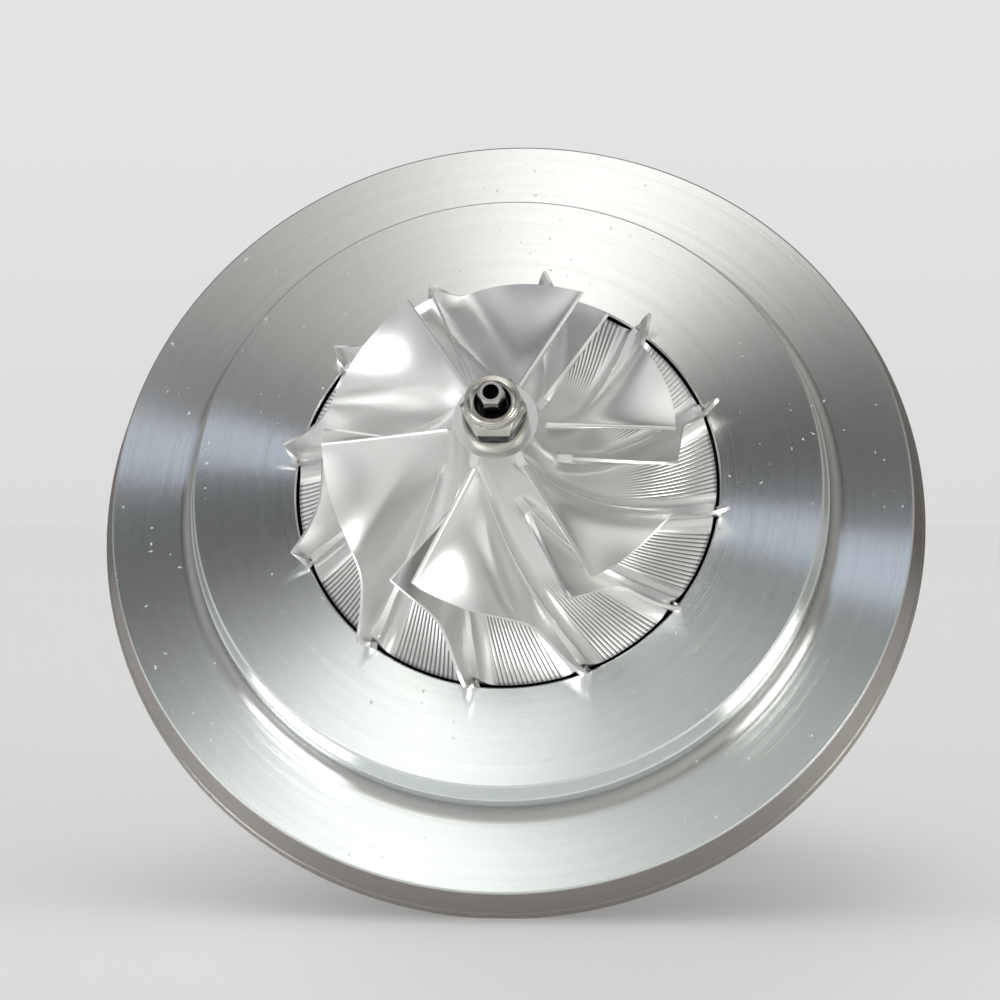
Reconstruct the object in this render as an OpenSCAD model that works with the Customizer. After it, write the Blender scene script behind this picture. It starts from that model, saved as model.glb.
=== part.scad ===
// Turbo cartridge: the rotating core of a heavy diesel turbocharger, millimetres.
// Drawn about the rotor axis with z towards the compressor nose, then laid down so that
// the nose points along -Y and the oil inlet points along +Z. The origin is on the rotor
// axis, in the plane of the back plate's front face.

/* [Back plate] */
// Radius of the front face that the compressor cover bolts against
face_r = 94; // [90:0.5:98]
// How much the rim grows in radius from its front edge to its rear edge
rim_flare = 2.6; // [1.5:0.1:4]
// Thickness of the plate at its rim
rim_t = 11; // [10:0.5:14]
// Radius of the spigot that centres the compressor cover
spigot_r = 74.4; // [70:0.2:78]
// Radius lost in the lead-in cone of the spigot
spigot_lead = 1.2; // [0.4:0.1:2]
// Height of the straight land on the spigot
spigot_land = 4; // [3:0.5:6]
// Height of the spigot above the front face
spigot_h = 13.6; // [12.6:0.2:16]
// Radius of the cove between the spigot and the front face
cove_r = 3.7; // [2:0.1:4.5]
// Depth of the recess that the compressor wheel's back disc runs in
recess_d = 4.6; // [4:0.1:5.5]
// Depth of the socket on the rear face that holds the bearing housing
socket_d = 5; // [4:0.5:6]

/* [Compressor wheel] */
// Number of full blades, with one splitter blade between each pair
blade_count = 6; // [5:1:7]
// Radius over the tips of the blades
wheel_tip_r = 52.3; // [51:0.1:54]
// Radius of the wheel's back disc
disc_r = 48.3; // [46:0.1:49.5]
// Thickness of the back disc at its edge
disc_t = 2.9; // [2.4:0.1:3.4]
// Radius of the blades at the air inlet
inducer_r = 40; // [36:0.1:42]
// Radius of the hub at its nose
nose_r = 9.5; // [8.5:0.1:11]
// Length of the wheel from its back face to its nose
wheel_l = 44; // [40:0.5:48]
// Distance from the nose back to the blade tips at the air inlet
inlet_step = 9.4; // [6:0.2:11]
// Height of the blades at the air outlet
outlet_h = 6.2; // [5:0.1:8]
// Angle that a blade turns through from inlet to outlet
blade_wrap = 49; // [40:1:56]
// Extra turn of the blade's root, which leans the outlet edge
blade_lean = 2.5; // [0:0.5:5]
// Where a splitter blade's tip starts, as a share of the full blade's length
splitter_start = 0.16; // [0.1:0.01:0.3]
// Gap between the wheel and the back plate
wheel_gap = 0.9; // [0.7:0.1:1.2]

/* [Rotor] */
// Radius of the thin end of the shaft that carries the compressor wheel
stub_r = 4; // [3.6:0.1:4.6]
// Radius of the shaft in the journal bearings
journal_r = 7; // [6.4:0.1:7.6]
// Radius of the shaft's seal hub beside the turbine wheel
seal_hub_r = 10.2; // [9.6:0.1:10.8]
// Width across the flats of the shaft nut
nut_af = 13; // [12:0.5:15]
// Height of the shaft nut
nut_h = 11.5; // [9:0.5:14]
// Width across the flats of the hexagon on the shaft's end
end_hex_af = 5.4; // [4.6:0.2:6]
// Height that the end hexagon stands above the nut
end_hex_h = 4.5; // [3:0.5:6]

/* [Bearings] */
// Length of each floating journal bearing
bearing_l = 14; // [11:0.5:16]
// Wall of each floating journal bearing
bearing_wall = 3.4; // [2.8:0.1:4]
// Oil film between two running faces
film = 0.06; // [0.03:0.01:0.09]
// Thickness of the retaining rings beside the journal bearings
ring_t = 1.2; // [1:0.1:1.5]
// Radius of the thrust bearing plate
thrust_r = 25.9; // [24:0.1:27]
// Thickness of the thrust bearing plate
thrust_t = 5.6; // [4.8:0.1:6.4]

/* [Bearing housing] */
// Length of the housing from its front face to its turbine end face
housing_l = 82; // [80:0.5:92]
// Radius of the flange that bolts to the back plate
flange_r = 62; // [61:0.5:64]
// Thickness of that flange
flange_t = 10; // [8:0.5:12]
// Radius of the waist between the two flanges
waist_r = 35; // [33:0.5:38]
// Radius of the pilot that centres the turbine housing
turbine_pilot_r = 46; // [45.5:0.5:48]
// Width of the clamp band's flange outside that pilot
band_w = 6; // [5:0.5:8]
// Length of that pilot
turbine_pilot_l = 7; // [5:0.5:9]
// Height of the oil inlet pad above the rotor axis
inlet_pad_y = 52; // [48:0.5:58]
// Radius of the oil inlet bore
inlet_r = 5; // [4:0.25:6]
// Distance between the oil inlet's two tapped holes
inlet_span = 34; // [30:1:38]
// Depth of the oil drain pad below the rotor axis
drain_pad_y = 54; // [50:0.5:60]
// Radius of the oil drain bore
drain_r = 11; // [9:0.5:12]
// Distance between the oil drain's two tapped holes
drain_span = 50; // [46:1:54]
// Number of bolts that hold the back plate
bolt_count = 6; // [4:2:8]
// Radius of those bolts' threads
bolt_r = 4; // [3:0.5:4]

/* [Turbine] */
// Number of turbine blades
turbine_blades = 11; // [9:1:13]
// Radius of the turbine wheel over its inlet tips
turbine_tip_r = 44.5; // [42:0.5:45]
// Radius of the turbine wheel over its outlet tips
turbine_outlet_r = 38; // [36:0.5:40]
// Length of the turbine wheel's blades along the axis
turbine_l = 35; // [32:0.5:40]
// Width of the turbine blades at the gas inlet
turbine_inlet_w = 13; // [11:0.5:15]
// Thickness of the heat shield's sheet
shield_t = 1; // [0.8:0.1:1.5]
// Depth of the heat shield's dish
shield_d = 5; // [4:0.5:7]

/* [Hidden] */
$fn = 96;

// Clearances and small edges that several pieces share
slide_gap = 0.02;
pilot_gap = 0.05;
side_gap = 0.15;
edge = 0.5;
past = 1;

// Back plate, from its front face to its rear
rim_r = face_r + rim_flare;
rim_groove_w = 0.8;
rim_groove_d = 0.5;
rim_groove_z = 2.2 - rim_t;
spigot_top_r = spigot_r - spigot_lead;
recess_z = spigot_h - recess_d;
recess_r = disc_r + wheel_gap * 0.8;
seat_z = socket_d - rim_t;
socket_lip = 4.5;
relief_outer_r = face_r - 10;
relief_z = seat_z + 1;

// Compressor wheel along the axis
wheel_back_z = recess_z + wheel_gap;
disc_front_z = wheel_back_z + disc_t;
nose_z = wheel_back_z + wheel_l;
inlet_z = nose_z - inlet_step;
outlet_root_z = spigot_h + wheel_gap;
outlet_tip_z = outlet_root_z + outlet_h;
wheel_angle = 2.4;
blade_sink = 1.8;
blade_rim_sink = 0.8;
blade_rim = 0.92;
blade_root_start = 0.05;
root_turn = 1.8;
tip_even = 0.3;
tip_quick = 0.184;
tip_ease = 1.75;
splitter_root_lag = 0.08;
station_ease = 1.3;
blade_root_t = 1.9;
blade_tip_t = 0.8;
blade_trim = 0.1;

// Seal and thrust parts along the axis, from the wheel towards the turbine
flinger_r = 9.3;
seal_bore_r = flinger_r + 0.3;
seal_ring_t = 1.6;
seal_ring_deep = 1.8;
seal_ring_float = 0.3;
seal_ring_split = 0.4;
seal_ring_z = seat_z + 8;
hub_seat_z = wheel_back_z - 2;
deflector_t = 1.2;
thrust_clamp = 3;
deflector_z = seat_z - thrust_clamp;
thrust_front_z = deflector_z - deflector_t;
thrust_seat_z = thrust_front_z - thrust_t;
collar_r = 11;
collar_t = 4.2;
collar_room_r = collar_r + 2.5;
collar_sleeve_r = 6.4;
collar_front_z = thrust_front_z + film;
collar_face_z = thrust_seat_z - film;
shoulder_z = collar_face_z - collar_t;
flinger_flange_t = 3.1;
flinger_pocket_r = collar_r + 1.6;
flinger_pocket_z = collar_front_z + flinger_flange_t + 0.6;
deflector_hole_r = collar_r + 0.8;
deflector_r = thrust_r - 0.4;
thrust_pocket_r = thrust_r + slide_gap;
thrust_pin_r = 1.5;
thrust_pin_at = thrust_r - 5.5;
thrust_pin_angles = [20, 160];
thrust_pin_deep = 5;

// Bearing housing along the axis
housing_end_z = seat_z - housing_l;
flange_rear_z = seat_z - flange_t;
bearing_r = journal_r + film + bearing_wall;
bearing_bore_r = bearing_r + film;
ring_deep = 1;
ring_cover = 2;
ring_wall = 3;
ring_set = 1.5;
ring_split = 5;
bore_start_z = shoulder_z - ring_set;
front_bearing_z = bore_start_z - ring_set - ring_t - 2 * side_gap;
seal_wall = 9;
oil_room_l = 6;
oil_room_r = seal_hub_r + 5.5;
seal_wall_z = housing_end_z + seal_wall;
oil_room_z = seal_wall_z + oil_room_l;
rear_bearing_z = oil_room_z + ring_set + ring_t + 2 * side_gap + bearing_l;
seal_hub_bore_r = seal_hub_r + 0.4;
turbine_ring_z = housing_end_z + seal_wall / 2;
pad_z = (flange_rear_z + housing_end_z) / 2 + 4;
gallery_y = bearing_bore_r + 8.5;
gallery_r = 2.2;
feed_r = 1.8;
rear_feed_z = rear_bearing_z - bearing_l / 2;
mid_room_r = bearing_bore_r + 5.5;
slot_w = 20;
slot_set = 2;
slot_y = waist_r - 6;
band_r = turbine_pilot_r + band_w;
band_t = 4;
band_taper = 3;
band_rear_z = housing_end_z + turbine_pilot_l;
band_front_z = band_rear_z + band_t;
neck_r = waist_r + 9;
cast_r = 7;
rib_t = 7;
rib_l = 22;
rib_root = 3;
rib_inset = 5;
rib_step = 2;
rib_angles = [30, 150, 210, 330];
inlet_hole_r = 3.3;
drain_hole_r = 4;
pad_hole_deep = 14;
ear_wall = 4;
pad_wall = 8;
pad_foot_y = waist_r / 2;
front_split_z = flange_rear_z - cast_r + 3;
rear_split_z = band_front_z + band_taper + cast_r - 1.6;
port_step = 1.2;
port_recess = 3;
bolt_circle_r = flange_r - 10;
bolt_deep = 12;
bolt_clear = 0.3;
bolt_end_gap = 2;
washer_t = 1.6;
washer_r = bolt_r + 4;
spot_d = 0.5;
spot_r = washer_r + 0.5;
washer_seat_z = flange_rear_z + spot_d;
bolt_head_af = bolt_r * 2 + 5;
bolt_head_h = bolt_r * 1.3;
dowel_r = 2;
dowel_deep = 5;
dowel_angle = 180 / bolt_count;
seal_cord_r = 1.25;
seal_cord_at = (thrust_r + bolt_circle_r - bolt_r) / 2;
locating_pin_r = 1.5;
locating_pin_out = 3;
locating_pin_angle = 60;
locating_pin_at = turbine_pilot_r + band_w / 2;

// Turbine wheel and heat shield along the axis
shield_rim_r = turbine_pilot_r - 0.5;
shield_wall_r = shield_rim_r - 7;
shield_hole_r = seal_hub_r + 1.3;
shield_back_z = housing_end_z - shield_d - shield_t;
turbine_back_z = shield_back_z - 1.5;
turbine_end_z = turbine_back_z - turbine_l;
turbine_disc_r = turbine_tip_r - 10;
turbine_disc_t = 4;
turbine_nose_r = 11;
turbine_nose_l = 7;
turbine_hex_af = turbine_nose_r * 1.4;
turbine_wrap = 38;
turbine_ease = 2.4;
turbine_throat = 0.7;
turbine_root_t = 3.2;
turbine_tip_t = 1.3;
turbine_sink = 0.8;

// Nut and shaft end
nut_top_z = nose_z + nut_h;
thread_end_z = nut_top_z - 3;
shaft_end_z = nut_top_z + end_hex_h;
end_hole_r = 1.7;
end_hole_deep = 5;

// Points along an arc, from one angle to another
function arc(centre, r, from, to, steps) =
    [for (i = [0:steps]) let (a = from + (to - from) * i / steps) centre + r * [cos(a), sin(a)]];

// Radius of a hexagon's corners from its width across flats
function hex_r(af) = af / 2 / cos(30);

// A vector of length one
function unit(v) = v / norm(v);

// A point of a blade's middle surface, s along the flow and t from root to tip.
// The root and tip curves give radius, height and angle.
function blade_point(root, tip, s, t) =
    let (p = root(s) * (1 - t) + tip(s) * t) [p[0] * cos(p[2]), p[0] * sin(p[2]), p[1]];

function blade_normal(root, tip, s, t, h = 0.01) =
    unit(cross(blade_point(root, tip, s + h, t) - blade_point(root, tip, s - h, t),
               blade_point(root, tip, s, t + h) - blade_point(root, tip, s, t - h)));

// How far along their turn a compressor blade's root and tip are, both quickest near the inlet
function root_bend(s) = root_turn * s + (1 - root_turn) * s * s;

function tip_bend(s) = tip_even * s
    + (1 - tip_even) * (1 - exp(-pow(max(0, s) / tip_quick, tip_ease)));

// How far along its turn a turbine blade is, quickest at the outlet
function turbine_bend(s) = pow(max(0, s), turbine_ease);

// Points of the compressor wheel's hub, from its nose to its edge
function hub_point(u) = [disc_r - (disc_r - nose_r) * cos(90 * u),
                         nose_z - (nose_z - disc_front_z) * sin(90 * u)];

// Points of the turbine wheel's hub, from its disc to its nose
function turbine_hub_point(u) =
    [turbine_nose_r + (turbine_disc_r - turbine_nose_r) * (1 - sin(90 * u)),
     turbine_end_z + (turbine_back_z - turbine_disc_t - turbine_end_z) * cos(90 * u)];

// Lays the axis down: nose along -Y, oil inlet along +Z
module laid() {
    rotate([90, 0, 0]) children();
}

// A solid of revolution from points given as radius and height
module turned(points) {
    rotate_extrude($fn = 180) polygon(points);
}

// A tube between two heights
module tube(r_in, r_out, z0, z1) {
    turned([[r_in, z0], [r_out, z0], [r_out, z1], [r_in, z1]]);
}

// A straight hole or pin along the axis between two heights
module rod(r, z0, z1) {
    translate([0, 0, min(z0, z1)]) cylinder(r = r, h = abs(z1 - z0));
}

// A hexagonal bar with its corners bevelled at the end that faces +z
module hex_bar(af, z0, z1) {
    top_r = af * 0.46;
    intersection() {
        translate([0, 0, z0]) cylinder(r = hex_r(af), h = z1 - z0, $fn = 6);
        turned([[0, z0], [af, z0], [af, z1 - af / 2], [top_r, z1], [0, z1]]);
    }
}

// Copies of a shape at equal angles about the axis
module around(count, start = 0) {
    for (i = [0:count - 1]) rotate(start + 360 * i / count) children();
}

// One twisted blade as a closed grid of triangles
module blade(root, tip, root_t, tip_t, along, across) {
    stations = along + 1;
    rows = across + 1;
    function at(side, i, j) = (side * stations + i) * rows + j;
    function quad(a, b, c, d) = [[c, b, a], [d, c, a]];
    points = [for (side = [0, 1], i = [0:along], j = [0:across])
        let (s = pow(i / along, station_ease), t = j / across,
             half = (root_t + (tip_t - root_t) * t) / 2)
        blade_point(root, tip, s, t) + (side * 2 - 1) * half * blade_normal(root, tip, s, t)];
    faces = [
        for (i = [0:along - 1], j = [0:across - 1])
            each concat(quad(at(0, i, j), at(0, i, j + 1), at(0, i + 1, j + 1), at(0, i + 1, j)),
                        quad(at(1, i, j), at(1, i + 1, j), at(1, i + 1, j + 1), at(1, i, j + 1))),
        for (i = [0:along - 1])
            each concat(quad(at(0, i, 0), at(0, i + 1, 0), at(1, i + 1, 0), at(1, i, 0)),
                        quad(at(0, i, across), at(1, i, across), at(1, i + 1, across),
                             at(0, i + 1, across))),
        for (j = [0:across - 1])
            each concat(quad(at(0, 0, j), at(1, 0, j), at(1, 0, j + 1), at(0, 0, j + 1)),
                        quad(at(0, along, j), at(0, along, j + 1), at(1, along, j + 1),
                             at(1, along, j)))];
    polyhedron(points, faces);
}

// A split ring, open at the bottom by a small gap
module split_ring(r_in, r_out, z0, z1, gap) {
    difference() {
        tube(r_in, r_out, z0, z1);
        translate([-gap / 2, -r_out - past, z0 - past])
            cube([gap, r_out, z1 - z0 + 2 * past]);
    }
}

// Outline of an oval pad: a round middle with an ear at each side
module pad_outline(middle_r, ear_r, half_span) {
    turn = acos((middle_r - ear_r) / half_span);
    polygon(concat(arc([half_span, 0], ear_r, -turn, turn, 10),
                   arc([0, 0], middle_r, turn, 180 - turn, 10),
                   arc([-half_span, 0], ear_r, 180 - turn, 180 + turn, 10),
                   arc([0, 0], middle_r, 180 + turn, 360 - turn, 10)));
}

// Turns a shape's z into the housing's +y, at the middle of the oil pads
module on_pad(side) {
    translate([0, 0, pad_z]) rotate([-90 * side, 0, 0]) children();
}

// Bolt centres on the back plate
module at_bolts() {
    around(bolt_count) translate([bolt_circle_r, 0, 0]) children();
}

module at_dowel() {
    rotate(dowel_angle) translate([bolt_circle_r, 0, 0]) children();
}

module at_thrust_pins() {
    for (a = thrust_pin_angles) rotate(a) translate([thrust_pin_at, 0, 0]) children();
}

module back_plate() {
    rim_slope = rim_flare / (rim_t - 2 * edge);
    function rim_at(z) = face_r + rim_slope * (-edge - z);
    outline = concat(
        [[seal_bore_r, recess_z], [recess_r, recess_z], [recess_r, spigot_h - edge],
         [recess_r + edge, spigot_h], [spigot_top_r - edge, spigot_h],
         [spigot_top_r, spigot_h - edge], [spigot_r, cove_r + spigot_land]],
        arc([spigot_r + cove_r, cove_r], cove_r, 180, 270, 8),
        [[face_r - edge, 0], [face_r, -edge],
         [rim_at(rim_groove_z + rim_groove_w), rim_groove_z + rim_groove_w],
         [rim_at(rim_groove_z) - rim_groove_d, rim_groove_z + rim_groove_w / 2],
         [rim_at(rim_groove_z), rim_groove_z],
         [rim_r, edge - rim_t], [rim_r - edge, -rim_t],
         [relief_outer_r, -rim_t], [relief_outer_r - socket_d, relief_z],
         [flange_r + socket_lip + 1, relief_z], [flange_r + socket_lip, -rim_t],
         [flange_r + pilot_gap + edge, -rim_t], [flange_r + pilot_gap, edge - rim_t],
         [flange_r + pilot_gap, seat_z], [deflector_r, seat_z], [deflector_r, deflector_z],
         [flinger_pocket_r, deflector_z], [flinger_pocket_r, flinger_pocket_z],
         [seal_bore_r, flinger_pocket_z]]);
    color([0.86, 0.87, 0.87]) laid() difference() {
        turned(outline);
        at_bolts() rod(bolt_r + slide_gap, seat_z - past, seat_z + bolt_deep);
        at_dowel() rod(dowel_r + slide_gap, seat_z - past, seat_z + dowel_deep);
    }
}

// The cast housing's waist with its two flanges, before its holes
module housing_turning() {
    outline = concat(
        [[0, seat_z], [flange_r - edge, seat_z], [flange_r, seat_z - edge],
         [flange_r, flange_rear_z], [neck_r, flange_rear_z]],
        arc([waist_r + cast_r, flange_rear_z - cast_r], cast_r, 90, 180, 6),
        arc([waist_r + cast_r, band_front_z + band_taper + cast_r], cast_r, 180, 270, 6),
        [[neck_r, band_front_z + band_taper], [band_r, band_front_z], [band_r, band_rear_z],
         [turbine_pilot_r, band_rear_z], [turbine_pilot_r, housing_end_z + edge],
         [turbine_pilot_r - edge, housing_end_z], [0, housing_end_z]]);
    turned(outline);
}

// Everything that is bored, drilled and cored in the housing
module housing_holes() {
    rod(thrust_pocket_r, seat_z + past, thrust_seat_z);
    rod(collar_room_r, thrust_seat_z + past, bore_start_z);
    rod(bearing_bore_r, bore_start_z + past, oil_room_z - past);
    rod(mid_room_r, front_bearing_z - bearing_l - ring_t - ring_wall,
        rear_bearing_z + ring_t + ring_wall);
    rod(oil_room_r, oil_room_z, seal_wall_z);
    rod(seal_hub_bore_r, seal_wall_z + past, housing_end_z - past);
    for (z = retaining_ring_places())
        rod(bearing_bore_r + ring_deep, z + side_gap, z - ring_t - side_gap);
    translate([-slot_w / 2, -slot_y, seal_wall_z + slot_set])
        cube([slot_w, slot_y - bearing_bore_r + past, thrust_seat_z - seal_wall_z]);
    on_pad(-1) translate([0, 0, mid_room_r]) cylinder(r = drain_r - port_step, h = waist_r);
    on_pad(-1) translate([0, 0, waist_r - port_recess]) cylinder(r = drain_r + port_step, h = waist_r);
    on_pad(1) translate([0, 0, gallery_y]) cylinder(r = inlet_r - port_step, h = waist_r);
    on_pad(1) translate([0, 0, waist_r - port_recess]) cylinder(r = inlet_r + port_step, h = waist_r);
    translate([0, gallery_y, 0])
        rod(gallery_r, thrust_seat_z + past, rear_feed_z - gallery_r - past);
    for (z = [front_bearing_z - bearing_l / 2, rear_feed_z])
        translate([0, 0, z]) rotate([-90, 0, 0]) cylinder(r = feed_r, h = gallery_y);
    at_bolts() rod(bolt_r + bolt_clear, seat_z + past, flange_rear_z - past);
    at_bolts() rod(spot_r, washer_seat_z, flange_rear_z - bolt_head_h - washer_t - cast_r);
    at_dowel() rod(dowel_r + slide_gap, seat_z + past, seat_z - dowel_deep);
    at_thrust_pins()
        rod(thrust_pin_r + slide_gap, thrust_seat_z + past, thrust_seat_z - thrust_pin_deep);
    tube(seal_cord_at - seal_cord_r - side_gap, seal_cord_at + seal_cord_r + side_gap,
         seat_z - 2 * seal_cord_r, seat_z + past);
    rotate(locating_pin_angle) translate([locating_pin_at, 0, 0])
        rod(locating_pin_r + slide_gap, band_rear_z - past, band_rear_z + band_t / 2);
}

// One stretch of the casting along the rotor axis, with its holes
module housing_stretch(z0, z1) {
    color([0.36, 0.35, 0.34]) laid() difference() {
        intersection() {
            housing_turning();
            rod(flange_r + past, z0, z1);
        }
        housing_holes();
    }
}

module bearing_housing() {
    housing_stretch(front_split_z, rear_split_z);
}

module housing_front_flange() {
    housing_stretch(seat_z + past, front_split_z);
}

module housing_turbine_flange() {
    housing_stretch(rear_split_z, housing_end_z - past);
}

// Ribs from the front flange down to the waist
module housing_ribs() {
    color([0.36, 0.35, 0.34]) laid() difference() {
        for (a = rib_angles) rotate(a) translate([0, rib_t / 2, 0]) rotate([90, 0, 0])
            linear_extrude(rib_t) polygon([[waist_r - rib_root, flange_rear_z + past],
                [flange_r - rib_inset, flange_rear_z + past],
                [flange_r - rib_inset, flange_rear_z - rib_step],
                [waist_r - past, flange_rear_z - rib_l],
                [waist_r - rib_root, flange_rear_z - rib_l]]);
        housing_turning();
        housing_holes();
    }
}

// A pad that stands on the waist, with an oil bore between two tapped holes
module oil_pad(side, pad_y, bore_r, hole_r, span) {
    color([0.36, 0.35, 0.34]) laid() difference() {
        on_pad(side) difference() {
            translate([0, 0, pad_foot_y]) linear_extrude(pad_y - pad_foot_y)
                pad_outline(bore_r + pad_wall, hole_r + ear_wall, span / 2);
            cylinder(r = bore_r, h = pad_y + past);
            for (x = [-span / 2, span / 2]) translate([x, 0, pad_y - pad_hole_deep])
                cylinder(r = hole_r, h = pad_hole_deep + past);
        }
        housing_turning();
    }
}

module oil_inlet_pad() {
    oil_pad(1, inlet_pad_y, inlet_r, inlet_hole_r, inlet_span);
}

module oil_drain_pad() {
    oil_pad(-1, drain_pad_y, drain_r, drain_hole_r, drain_span);
}

module compressor_wheel() {
    root = function (s)
        let (u = blade_root_start + (1 - blade_root_start) * min(1, s / blade_rim),
             over = max(0, (s - blade_rim) / (1 - blade_rim)),
             sink = blade_sink + (blade_rim_sink - blade_sink) * u,
             p = hub_point(u) - sink * [cos(90 * u), sin(90 * u)],
             q = p * (1 - over) + [disc_r + wheel_gap / 2, outlet_root_z] * over)
        [q[0], q[1], (blade_wrap + blade_lean) * root_bend(s)];
    tip = function (s)
        [wheel_tip_r - (wheel_tip_r - inducer_r) * cos(90 * s),
         inlet_z - (inlet_z - outlet_tip_z) * sin(90 * s), blade_wrap * tip_bend(s)];
    root_start = splitter_start + splitter_root_lag;
    splitter_root = function (s) root(root_start + (1 - root_start) * s);
    splitter_tip = function (s) tip(splitter_start + (1 - splitter_start) * s);
    hub = concat(
        [[0, hub_seat_z], [flinger_r, hub_seat_z], [flinger_r, wheel_back_z - wheel_gap / 2],
         [flinger_r + wheel_gap, wheel_back_z],
         [disc_r - edge, wheel_back_z + edge], [disc_r, wheel_back_z + 2 * edge]],
        [for (i = [12:-1:0]) hub_point(i / 12)], [[0, nose_z]]);
    color([0.83, 0.83, 0.82]) laid() difference() {
        union() {
            turned(hub);
            around(blade_count, wheel_angle)
                blade(root, tip, blade_root_t, blade_tip_t, 16, 3);
            around(blade_count, wheel_angle + 180 / blade_count)
                blade(splitter_root, splitter_tip, blade_root_t, blade_tip_t, 12, 3);
        }
        rod(stub_r + slide_gap, hub_seat_z - past, nose_z + past);
        tube(disc_r + blade_trim, wheel_tip_r + past, hub_seat_z, spigot_h + wheel_gap / 2);
    }
}

module shaft_nut() {
    color([0.62, 0.61, 0.58]) laid() difference() {
        hex_bar(nut_af, nose_z, nut_top_z);
        rod(stub_r + slide_gap, nose_z - past, nut_top_z + past);
    }
}

module rotor_shaft() {
    relief = 0.5;
    groove_r = seal_hub_r - seal_ring_deep;
    front_end = front_bearing_z - bearing_l - 2;
    rear_end = rear_bearing_z + 2;
    outline = [[0, thread_end_z], [stub_r - edge, thread_end_z], [stub_r, thread_end_z - edge],
        [stub_r, shoulder_z], [journal_r, shoulder_z], [journal_r, front_end],
        [journal_r - relief, front_end - relief], [journal_r - relief, rear_end + relief],
        [journal_r, rear_end], [journal_r, oil_room_z - past], [seal_hub_r, oil_room_z - oil_room_l / 2],
        [seal_hub_r, turbine_ring_z + seal_ring_t / 2 + side_gap],
        [groove_r, turbine_ring_z + seal_ring_t / 2 + side_gap],
        [groove_r, turbine_ring_z - seal_ring_t / 2 - side_gap],
        [seal_hub_r, turbine_ring_z - seal_ring_t / 2 - side_gap],
        [seal_hub_r, turbine_back_z], [0, turbine_back_z]];
    color([0.55, 0.54, 0.52]) laid() difference() {
        union() {
            turned(outline);
            hex_bar(end_hex_af, thread_end_z - edge, shaft_end_z);
        }
        rod(end_hole_r, shaft_end_z - end_hole_deep, shaft_end_z + past);
    }
}

module turbine_wheel() {
    root = function (s)
        let (p = turbine_hub_point(s) - turbine_sink * [sin(90 * s), 0])
        [p[0] - turbine_sink, p[1], turbine_wrap * turbine_bend(s)];
    tip = function (s)
        [turbine_tip_r - (turbine_tip_r - turbine_outlet_r) * sin(90 * min(1, s / turbine_throat)),
         turbine_back_z - turbine_inlet_w
             - (turbine_l - turbine_inlet_w) * (1 - cos(90 * s)), turbine_wrap * turbine_bend(s)];
    hub = concat(
        [[0, turbine_back_z], [turbine_disc_r - edge, turbine_back_z],
         [turbine_disc_r, turbine_back_z - edge]],
        [for (i = [0:12]) turbine_hub_point(i / 12)],
        [[turbine_nose_r - edge, turbine_end_z - edge], [0, turbine_end_z - edge]]);
    color([0.46, 0.44, 0.41]) laid() union() {
        turned(hub);
        around(turbine_blades) {
            blade(root, tip, turbine_root_t, turbine_tip_t, 12, 3);
        }
        mirror([0, 0, 1])
            hex_bar(turbine_hex_af, -turbine_end_z - past, -turbine_end_z + turbine_nose_l);
    }
}

module heat_shield() {
    wall_in = shield_wall_r - shield_t;
    color([0.60, 0.55, 0.47]) laid() turned([
        [shield_rim_r, housing_end_z], [shield_rim_r, housing_end_z - shield_t],
        [shield_wall_r, housing_end_z - shield_t], [shield_wall_r - edge, shield_back_z + edge],
        [shield_wall_r - 2 * edge, shield_back_z], [shield_hole_r, shield_back_z],
        [shield_hole_r, shield_back_z + shield_t], [wall_in - 2 * edge, shield_back_z + shield_t],
        [wall_in, housing_end_z]]);
}

module compressor_piston_ring() {
    color([0.42, 0.41, 0.40]) laid() split_ring(flinger_r - seal_ring_deep + seal_ring_float,
        seal_bore_r - slide_gap, seal_ring_z, seal_ring_z + seal_ring_t, seal_ring_split);
}

module turbine_piston_ring() {
    color([0.42, 0.41, 0.40]) laid() split_ring(seal_hub_r - seal_ring_deep + seal_ring_float,
        seal_hub_bore_r - slide_gap, turbine_ring_z - seal_ring_t / 2,
        turbine_ring_z + seal_ring_t / 2, seal_ring_split);
}

// A floating bush with oil holes round its middle and a bevel at each end
module journal_bearing(z) {
    hole_r = 1.6;
    r_in = journal_r + film;
    difference() {
        turned([[r_in, z - edge], [r_in + edge, z], [bearing_r - edge, z], [bearing_r, z - edge],
                [bearing_r, z - bearing_l + edge], [bearing_r - edge, z - bearing_l],
                [r_in + edge, z - bearing_l], [r_in, z - bearing_l + edge]]);
        around(6) translate([0, 0, z - bearing_l / 2]) rotate([0, 90, 0])
            cylinder(r = hole_r, h = bearing_r + past);
    }
}

module front_journal_bearing() {
    color([0.72, 0.55, 0.30]) laid() journal_bearing(front_bearing_z);
}

module rear_journal_bearing() {
    color([0.72, 0.55, 0.30]) laid() journal_bearing(rear_bearing_z);
}

// Front faces of the retaining rings, one on each side of both journal bearings
function retaining_ring_places() = [for (z = [front_bearing_z, rear_bearing_z])
    each [z + side_gap + ring_t, z - bearing_l - side_gap]];

module bearing_retaining_rings() {
    color([0.30, 0.30, 0.31]) laid() for (z = retaining_ring_places())
        split_ring(bearing_bore_r - ring_cover, bearing_bore_r + ring_deep - slide_gap,
                   z - ring_t, z, ring_split);
}

module thrust_bearing() {
    groove_w = 2.4;
    groove_d = 0.5;
    thrust_pad_r = collar_r + 1;
    color([0.70, 0.53, 0.29]) laid() difference() {
        tube(collar_sleeve_r + film, thrust_r, thrust_seat_z, thrust_front_z);
        around(6, 30) translate([0, -groove_w / 2, thrust_front_z - groove_d])
            cube([thrust_pad_r, groove_w, past]);
        at_thrust_pins() rod(thrust_pin_r + slide_gap, thrust_seat_z - past, thrust_front_z + past);
        translate([-slot_w / 2, -thrust_r - past, thrust_seat_z - past])
            cube([slot_w, thrust_r - thrust_pad_r, thrust_t + 2 * past]);
    }
}

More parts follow.
